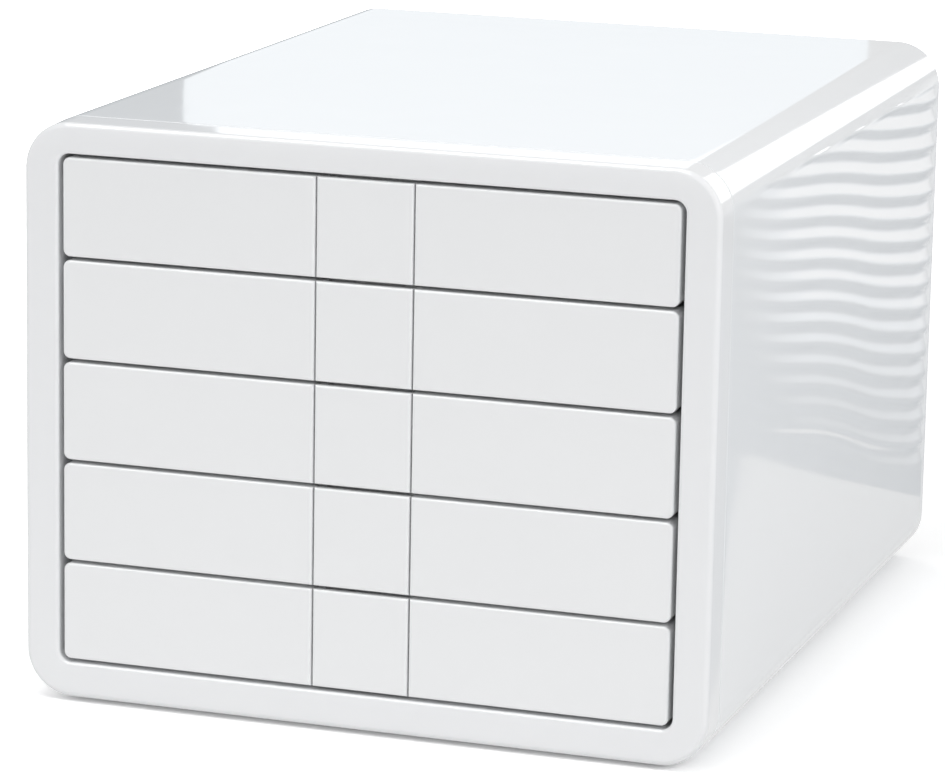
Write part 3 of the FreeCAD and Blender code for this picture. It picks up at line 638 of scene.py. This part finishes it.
full_height = add(waves, "ShaderNodeMath", {0: hollow, 1: gap}, operation="MULTIPLY")
shrunk = add(waves, "ShaderNodeMath", {0: grown, 1: lower}, operation="MULTIPLY")
height = add(waves, "ShaderNodeMath", {0: full_height, 1: shrunk}, operation="MULTIPLY")
print("Nodes so far:", len(waves.nodes))

# %% [markdown]
# ### The crease and the groove
# The whole field of waves lies a little deeper than the flat wall, and that step is the crease.
# Right under it the waves calm down, and a fine groove is cut there. It starts an eighth of the way
# back and has its full depth from a third of the way on. Its lower flank looks up and shows as a
# bright line.

# %% Cut the crease and the groove
crease = add(waves, "ShaderNodeMapRange", {"Value": along, "To Min": given["Crease At Front"],
                                           "To Max": given["Crease At Back"]})
under = add(waves, "ShaderNodeMath", {0: crease, 1: z}, operation="SUBTRACT")
calm = add(waves, "ShaderNodeMapRange", {"Value": under, "From Max": given["Calm Height"],
                                         "To Min": CALM_SHARE})
calmed = add(waves, "ShaderNodeMath", {0: height, 1: calm}, operation="MULTIPLY")
sink = add(waves, "ShaderNodeMapRange", {"Value": along, "To Min": given["Sink At Front"],
                                         "To Max": given["Sink At Back"]})
sunk = add(waves, "ShaderNodeMath", {0: calmed, 1: sink}, operation="ADD")
groove = add(waves, "ShaderNodeMapRange", {"Value": under, "From Max": given["Groove Height"],
                                           "To Min": given["Groove Depth"], "To Max": 0})
groove_share = add(waves, "ShaderNodeMapRange", {"Value": along, "From Min": GROOVE_STARTS_SHARE,
                                                 "From Max": GROOVE_GROWN_SHARE})
deepened = add(waves, "ShaderNodeMath", {0: groove, 1: groove_share, 2: sunk}, operation="MULTIPLY_ADD")
print("Nodes so far:", len(waves.nodes))

# %% [markdown]
# ### The ends of the field
# The field has soft ends below the last ridge and before the rear rim, and a sharp one at the
# crease. Only the outer skin of the wall may move, so the share falls to nothing with the distance
# from the wall's outside, before the inner skin is reached.

# %% End the field
ended = add(waves, "ShaderNodeMapRange", {"Value": row, "From Min": LAST_RIDGE, "From Max": FIELD_END,
                                          "To Min": 1, "To Max": 0}, interpolation_type="SMOOTHSTEP")
faded = add(waves, "ShaderNodeMapRange", {"Value": y, "From Min": given["Waves Fade"],
                                          "From Max": given["Waves End"], "To Min": 1, "To Max": 0},
            interpolation_type="SMOOTHSTEP")
below = add(waves, "ShaderNodeMath", {0: z, 1: crease}, operation="LESS_THAN")
outwards = add(waves, "ShaderNodeMath", {0: x}, operation="ABSOLUTE")
depth = add(waves, "ShaderNodeMath", {0: given["Wall"], 1: outwards}, operation="SUBTRACT")
outer = add(waves, "ShaderNodeMapRange", {"Value": depth, "From Min": given["Skin"],
                                          "From Max": given["Core"], "To Min": 1, "To Max": 0})
outer_below = add(waves, "ShaderNodeMath", {0: outer, 1: below}, operation="MULTIPLY")
kept = add(waves, "ShaderNodeMath", {0: outer_below, 1: faded}, operation="MULTIPLY")
closed = add(waves, "ShaderNodeMath", {0: deepened, 1: ended}, operation="MULTIPLY")
inset = add(waves, "ShaderNodeMath", {0: closed, 1: kept}, operation="MULTIPLY")
print("Nodes so far:", len(waves.nodes))

# %% [markdown]
# ### Moving the points
# A point on the right wall moves to the left by its inset, and one on the left wall to the right,
# so the inset takes the sign of x. The tree ends by making its result real and painting it. Then it
# runs on the casing, and its result replaces the casing's mesh, which leaves nothing to compute.

# %% Move the points and run the tree
side = add(waves, "ShaderNodeMath", {0: x}, operation="SIGN")
inwards = add(waves, "ShaderNodeMath", {0: inset, 1: side}, operation="MULTIPLY")
across = add(waves, "ShaderNodeMath", {0: x, 1: inwards}, operation="SUBTRACT")
moved = add(waves, "ShaderNodeCombineXYZ", {"X": across, "Y": y, "Z": z})
shaped = add(waves, "GeometryNodeSetPosition", {"Geometry": given["Geometry"], "Position": moved})
real = add(waves, "GeometryNodeRealizeInstances", {"Geometry": shaped})
painted = add(waves, "GeometryNodeSetMaterial", {"Geometry": real, "Material": casing_abs})
add(waves, "NodeGroupOutput", {"Geometry": painted})


def run_tree(piece, tree, values):
    """Runs a tree on a piece, and leaves the result as its plain mesh."""
    modifier = piece.modifiers.new(tree.name, "NODES")
    modifier.node_group = tree
    for socket in tree.interface.items_tree:
        if socket.name in values:
            modifier[socket.identifier] = values[socket.name]
    bpy.context.view_layer.update()
    shaped = bpy.data.meshes.new_from_object(piece.evaluated_get(bpy.context.evaluated_depsgraph_get()))
    piece.modifiers.remove(modifier)
    piece.data = shaped


run_tree(casing, waves, WAVES)
finish_piece(casing, casing_abs)
sinks = [shell_high.x - point.co.x for point in casing.data.vertices
         if point.co.x > shell_high.x - WAVES["Core"] and outer_centres[1] < point.co.z < outer_centres[2]]
print("Deepest sink of the side wall in mm:", round(max(sinks) / MM, 2))

# %% [markdown]
# ## Let the new pieces ride
# A new piece stands for the CAD node that it replaces, which is hidden, and rides on the casing's
# body. It keeps the finish given to it above. It sits at the origin with its place in its mesh,
# like the node.

# %% Ride and replace
for piece, node, slot in ((front_surround, "front_frame", "frame_plastic"),
                          (casing, "casing_shell", "casing_plastic")):
    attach(piece, "casing")
    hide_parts(node)
    print(piece.name, "stands for", node)

# %% [markdown]
# ## Finish the carried-over nodes
# The CAD shape of every other piece is right as it is, rounds included, so each keeps its mesh and
# only gets its material. A node's name starts or ends with one of the words below.

# %% Assign the materials
FINISHES = {
    "rear_panel": casing_abs,
    "left_runner_panel": runner_satin,
    "right_runner_panel": runner_satin,
    "rear_screws": screw_steel,
    "_tray": tray_satin,
    "_front": front_abs,
    "_grip_flap": front_abs,
    "_flap_pin": pin_steel,
    "_flap_spring": spring_steel,
    "_front_screws": screw_steel,
    "foot_": foot_rubber,
}
finished = 0
for name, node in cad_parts.items():
    for word, finish in FINISHES.items():
        if name.startswith(word) or name.endswith(word):
            node.material_slots[0].material = finish
            finished += 1
print("Nodes with a finish:", finished)

# %% [markdown]
# ## The sky
# The light is soft and plain, and most of it is an even sky. The camera sees that sky as white.
# The sky's light on the box is set apart from that, and so is what the polished plastic mirrors
# where no card stands.

# %% Light the world
SKY_SEEN = 1
SKY_GIVES = 0.55
SKY_MIRRORED = 0.76

world = bpy.data.worlds.new("even sky")
world.use_nodes = True
world.node_tree.nodes.clear()
bpy.context.scene.world = world
ray = add(world.node_tree, "ShaderNodeLightPath").outputs
unseen = add(world.node_tree, "ShaderNodeMapRange", {"Value": ray["Is Glossy Ray"], "To Min": SKY_GIVES,
                                                     "To Max": SKY_MIRRORED})
strength = add(world.node_tree, "ShaderNodeMapRange", {"Value": ray["Is Camera Ray"], "To Min": unseen,
                                                       "To Max": SKY_SEEN})
sky = add(world.node_tree, "ShaderNodeBackground", {"Color": linear("#FFFFFF"), "Strength": strength})
add(world.node_tree, "ShaderNodeOutputWorld", {"Surface": sky})
bpy.context.scene.view_settings.view_transform = "Standard"
print("The sky gives", SKY_GIVES, "and is mirrored as", SKY_MIRRORED)

# %% [markdown]
# ## The floor
# The box stands on a pale floor that runs on past the picture, so the background is plain white.
# The floor is a diffuse surface. Seen by the camera its colour is painted brighter than white
# paper, and more so far off than near the box: a painted grade of light that hides the lamps'
# fall-off far away and leaves painted shade round the box, where its real soft shadow lies. To the
# box it gives the light of a common pale table.

# %% Lay the floor
FLOOR_SIZE = 12
FLOOR_NEAR = 0.45
FLOOR_FAR = 1.8
FLOOR_PAINTED_LIGHT_NEAR = 1.35
FLOOR_PAINTED_LIGHT_FAR = 2.6
FLOOR_GIVES = 0.8


def paint_floor():
    """Matt white; its painted brightness to the camera grows with the distance from the box."""
    material, tree, output = new_material("matt white floor")
    place = add(tree, "ShaderNodeTexCoord").outputs["Object"]
    distance = add(tree, "ShaderNodeVectorMath", {0: place}, operation="LENGTH").outputs["Value"]
    # Painted light: to the camera the floor is brighter far from the box and dimmer near it.
    painted_grade = add(tree, "ShaderNodeMapRange", {"Value": distance, "From Min": FLOOR_NEAR, "From Max": FLOOR_FAR,
                                             "To Min": FLOOR_PAINTED_LIGHT_NEAR, "To Max": FLOOR_PAINTED_LIGHT_FAR})
    seen = add(tree, "ShaderNodeLightPath").outputs["Is Camera Ray"]
    brightness = add(tree, "ShaderNodeMapRange", {"Value": seen, "To Min": FLOOR_GIVES, "To Max": painted_grade})
    white = add(tree, "ShaderNodeCombineColor", {name: brightness for name in ("Red", "Green", "Blue")})
    paper = add(tree, "ShaderNodeBsdfDiffuse", {"Color": white})
    tree.links.new(paper.outputs["BSDF"], output.inputs["Surface"])
    return material


floor_mesh = bpy.data.meshes.new("floor")
reach = FLOOR_SIZE / 2
floor_corners = [(-reach, -reach, 0), (reach, -reach, 0), (reach, reach, 0), (-reach, reach, 0)]
floor_mesh.from_pydata(floor_corners, [], [(0, 1, 2, 3)])
floor_mesh.materials.append(paint_floor())
floor = bpy.data.objects.new("floor", floor_mesh)
floor.visible_glossy = False
bpy.context.scene.collection.objects.link(floor)
print("The floor is", FLOOR_SIZE, "m across")

# %% [markdown]
# ## The lamps
# Four softboxes give the light a direction: a broad one overhead, a strong one at the front right,
# and weaker ones at the front left and the rear left. The lamps only light. What the polished
# plastic mirrors is set apart, below. A lamp's power is worked out from its size and from how
# bright its surface looks, where 1 is white paper.

# %% Hang the lamps
SOFTBOX_SIZE = (0.9, 0.9)
BROAD_SOFTBOX_SIZE = (1.1, 0.9)
OVERHEAD_TARGET = (0, 0, 0.1)
SIDE_TARGET = (0, 0, 0.12)


def hang_lamp(name, place, target, size, brightness):
    """An area lamp whose surface has that brightness, where 1 is white paper."""
    data = bpy.data.lights.new(name, "AREA")
    data.shape = "RECTANGLE"
    data.size, data.size_y = size
    data.energy = brightness * math.pi * size[0] * size[1]
    lamp = bpy.data.objects.new(name, data)
    lamp.location = place
    lamp.rotation_euler = (Vector(target) - Vector(place)).to_track_quat("-Z", "Y").to_euler()
    lamp.visible_camera = False
    lamp.visible_glossy = False
    bpy.context.scene.collection.objects.link(lamp)
    print(name, "gives", round(data.energy, 1), "watts")


hang_lamp("overhead softbox", place=(-0.3, -0.5, 1.6), target=OVERHEAD_TARGET, size=BROAD_SOFTBOX_SIZE,
          brightness=1.85)
hang_lamp("front left softbox", place=(-0.9, -1.9, 0.7), target=SIDE_TARGET, size=SOFTBOX_SIZE,
          brightness=2.4)
hang_lamp("front right softbox", place=(1.56, -0.72, 0.94), target=SIDE_TARGET, size=SOFTBOX_SIZE,
          brightness=4)
hang_lamp("rear left softbox", place=(-1.3, 1.7, 0.9), target=SIDE_TARGET, size=SOFTBOX_SIZE,
          brightness=2.5)

# %% [markdown]
# ## Cards for the reflections
# A glossy white thing shows its shape only by what it mirrors, so a photographer sets pale, bright
# and dark cards round it. Here the cards are seen in reflections alone, and neither light the box
# nor shade it. A card has one brightness, or one at its foot and another at its head.

# %% Write the card
WHITE = "#FFFFFF"


def set_card(name, corners, brightness, head_brightness=None, tint=WHITE):
    """A flat card through its corners, that only reflections show, graded from its foot to its head."""
    material, tree, output = new_material(name)
    foot = min(corner[2] for corner in corners)
    head = max(corner[2] for corner in corners)
    glow = add(tree, "ShaderNodeEmission", {"Color": linear(tint), "Strength": brightness})
    if head_brightness is not None:
        place = add(tree, "ShaderNodeTexCoord").outputs["Object"]
        level = add(tree, "ShaderNodeSeparateXYZ", {"Vector": place}).outputs["Z"]
        grade = add(tree, "ShaderNodeMapRange", {"Value": level, "From Min": foot, "From Max": head,
                                                 "To Min": brightness, "To Max": head_brightness})
        tree.links.new(grade.outputs["Result"], glow.inputs["Strength"])
    tree.links.new(glow.outputs["Emission"], output.inputs["Surface"])
    mesh = bpy.data.meshes.new(name)
    mesh.from_pydata([Vector(corner) for corner in corners], [], [tuple(range(len(corners)))])
    mesh.materials.append(material)
    card = bpy.data.objects.new(name, mesh)
    for kind in ("camera", "diffuse", "transmission", "volume_scatter", "shadow"):
        setattr(card, f"visible_{kind}", False)
    bpy.context.scene.collection.objects.link(card)
    print("Card:", name)


def upright(left, right, foot, head, y):
    """Corners of an upright card across the view."""
    return (left, y, foot), (right, y, foot), (right, y, head), (left, y, head)


def facing_box(place, width, foot, head):
    """Corners of an upright card at a place, turned to the middle of the box."""
    way = -Vector(place)
    aside = Vector((-way.y, way.x, 0)).normalized() * width / 2
    left, right = Vector(place) - aside, Vector(place) + aside
    return [(spot.x, spot.y, height)
            for spot, height in ((left, foot), (right, foot), (right, head), (left, head))]


print("Corners of a card one metre wide:", upright(left=0, right=1, foot=0, head=1, y=2))

# %% [markdown]
# ### The table and the room
# The white table has two cards. One is cut to the shape that the lower part of the side wall
# mirrors. The other lies in front of the box and gets brighter towards it, because the fronts
# mirror it and are a little paler at their foot. It tilts by 2 mm, which carries the grade.
# Behind the table the room gets darker towards its floor. The side wall mirrors its dark part, and
# the upper flanks of the waves its pale part, so the waves show.

# %% Set the cards of the table and the room
COOL_SHADE = "#E8EEF4"
COOL_GREY = "#F2F6FA"
TABLE_EDGE = ((-3, -1.46), (0.281, 0.36), (0.155, -0.2), (0.09, -0.5), (-0.3, -2), (-3, -2))
TABLE_HALF = 0.8
TABLE_FAR, TABLE_FAR_LIFT = -1.5, 1 * MM
TABLE_CLOSE, TABLE_CLOSE_LIFT = -0.19, 3 * MM
ROOM_BACK = 6
ROOM_LEFT, ROOM_SPLIT, ROOM_RIGHT = -1.5, 1.74, 9
ROOM_FOOT, GRADE_START = -8, -1.05
LEFT_GRADE_END, LEFT_HEAD = -0.45, 0.3
RIGHT_GRADE_END = -0.3

table_in_front = [(-TABLE_HALF, TABLE_FAR, TABLE_FAR_LIFT), (TABLE_HALF, TABLE_FAR, TABLE_FAR_LIFT),
                  (TABLE_HALF, TABLE_CLOSE, TABLE_CLOSE_LIFT), (-TABLE_HALF, TABLE_CLOSE, TABLE_CLOSE_LIFT)]
set_card("table top", [(x, y, 0) for x, y in TABLE_EDGE], brightness=0.85)
set_card("table in front", table_in_front, brightness=0.1, head_brightness=1.4)
set_card("room under the table", upright(ROOM_LEFT, ROOM_RIGHT, ROOM_FOOT, GRADE_START, ROOM_BACK),
         brightness=0.62, tint=COOL_SHADE)
set_card("room behind, left part", upright(ROOM_LEFT, ROOM_SPLIT, GRADE_START, LEFT_GRADE_END, ROOM_BACK),
         brightness=0.62, head_brightness=1.2, tint=COOL_GREY)
set_card("room behind, left part above", upright(ROOM_LEFT, ROOM_SPLIT, LEFT_GRADE_END, LEFT_HEAD, ROOM_BACK),
         brightness=1.2)
set_card("room behind, right part", upright(ROOM_SPLIT, ROOM_RIGHT, GRADE_START, RIGHT_GRADE_END, ROOM_BACK),
         brightness=0.48, head_brightness=0.85, tint=COOL_GREY)

# %% [markdown]
# ### The softboxes and the dark room
# The flat top mirrors a large softbox behind the box, and to the left of it a dark room, which
# draws the dark wedge on the top's left. The softbox's brighter upper half shows in the taper of
# the frame. A strip at the right, a card overhead and a narrow one at the front right draw the
# highlights along the rounds.

# %% Set the cards that the top and the rounds mirror
COOL_WHITE = "#F6FBFF"
SOFTBOX_BACK = 0.9
SOFTBOX_RIGHT = -0.06
SOFTBOX_HALFWAY = 0.5
OVERHEAD_LEFT, OVERHEAD_RIGHT = -0.85, 0.25
OVERHEAD_FRONT, OVERHEAD_FRONT_HEIGHT = -1.25, 1.3
OVERHEAD_BACK, OVERHEAD_BACK_HEIGHT = -0.05, 1.7

overhead = [(OVERHEAD_LEFT, OVERHEAD_FRONT, OVERHEAD_FRONT_HEIGHT),
            (OVERHEAD_RIGHT, OVERHEAD_FRONT, OVERHEAD_FRONT_HEIGHT),
            (OVERHEAD_RIGHT, OVERHEAD_BACK, OVERHEAD_BACK_HEIGHT),
            (OVERHEAD_LEFT, OVERHEAD_BACK, OVERHEAD_BACK_HEIGHT)]
set_card("dark room, far left", upright(left=-3, right=-0.52, foot=0, head=1.6, y=2.7),
         brightness=0.5, tint=COOL_SHADE)
set_card("rear softbox",
         upright(left=-0.523, right=SOFTBOX_RIGHT, foot=0.28, head=SOFTBOX_HALFWAY, y=SOFTBOX_BACK),
         brightness=1.14, tint=COOL_WHITE)
set_card("rear softbox, upper half",
         upright(left=-0.506, right=SOFTBOX_RIGHT, foot=SOFTBOX_HALFWAY, head=1, y=SOFTBOX_BACK),
         brightness=1.7, tint=COOL_WHITE)
set_card("right strip", upright(left=0.315, right=1.1, foot=0.32, head=1.1, y=1.34), brightness=2.2)
set_card("overhead card", overhead, brightness=6)
set_card("front right card", facing_box(place=(1.7, -0.85, 0), width=0.3, foot=-0.7, head=1.3),
         brightness=2.5)
